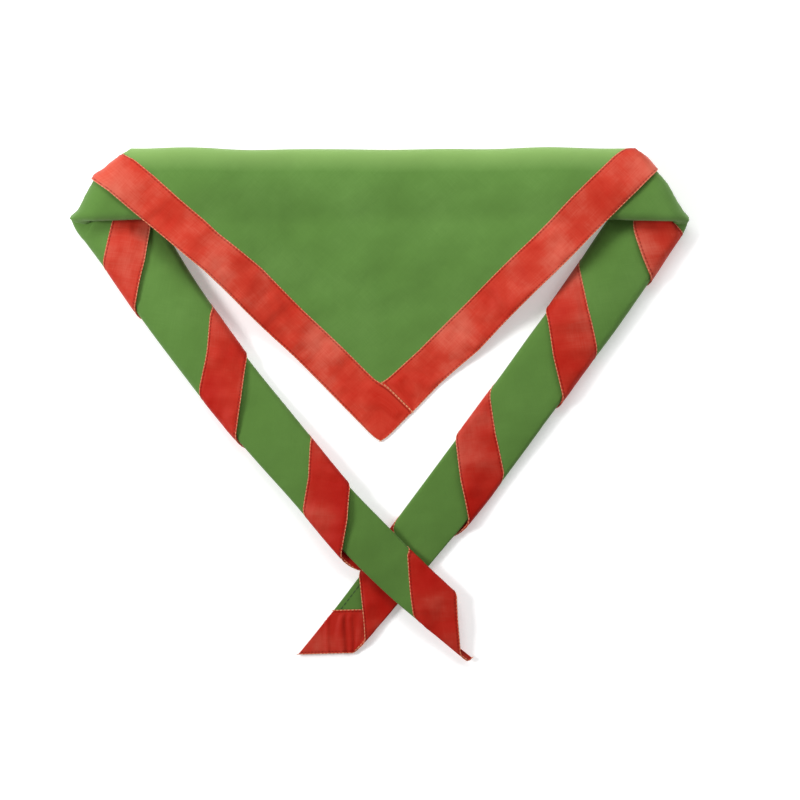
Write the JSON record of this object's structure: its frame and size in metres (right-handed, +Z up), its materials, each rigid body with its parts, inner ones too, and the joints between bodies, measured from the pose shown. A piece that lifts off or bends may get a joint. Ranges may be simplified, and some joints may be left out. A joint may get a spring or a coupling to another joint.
{
  "type": "neckerchief",
  "caption": "Green cotton triangle with a red border, wound into a flat band with a pointed flap over it and two striped arms crossed in front.",
  "frame": {"origin": "on the table under the middle of the folded outline", "axes": "+X to the right and +Y to the top fold as the picture shows them, +Z up from the table"},
  "size_m": [0.3366, 0.284, 0.0233],
  "materials": {
    "green_cotton": "plain woven cotton, matt",
    "red_cotton": "close woven cotton with a slight sheen"
  },
  "bodies": {
    "root": {"flap_panel": "green_cotton", "neck_roll": "green_cotton", "arm_left": "green_cotton", "arm_right": "green_cotton", "flap_border_left": "red_cotton", "flap_border_right": "red_cotton", "arm_border_left": "red_cotton", "arm_border_right": "red_cotton"}
  },
  "joints": []
}
